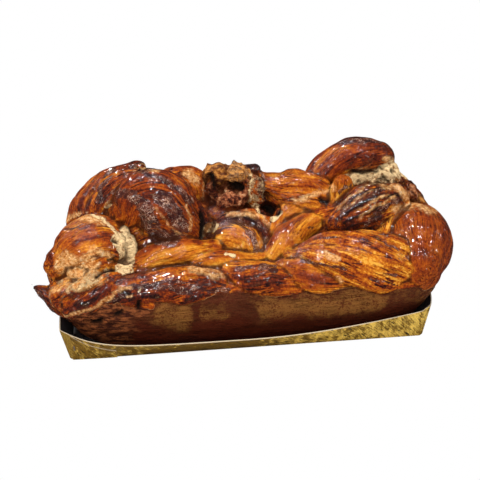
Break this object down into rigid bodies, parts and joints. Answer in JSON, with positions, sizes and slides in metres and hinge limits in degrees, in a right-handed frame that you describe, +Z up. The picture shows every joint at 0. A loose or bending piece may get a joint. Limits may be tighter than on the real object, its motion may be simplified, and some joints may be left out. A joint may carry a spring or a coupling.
{
  "type": "babka",
  "caption": "Long glossy loaf of twisted and layered chocolate dough, baked in a tin and standing in a low folded card tray.",
  "frame": {"origin": "centre of the card tray's flat underside", "axes": "+X along the loaf, +Y towards its taller back, +Z up"},
  "size_m": [0.3158, 0.137, 0.1236],
  "materials": {
    "babka_crust": "glazed brown bread crust with dark chocolate streaks",
    "gold_card": "mottled gold card, black inside"
  },
  "bodies": {
    "root": {"babka_loaf": "babka_crust", "card_tray": "gold_card"}
  },
  "joints": []
}
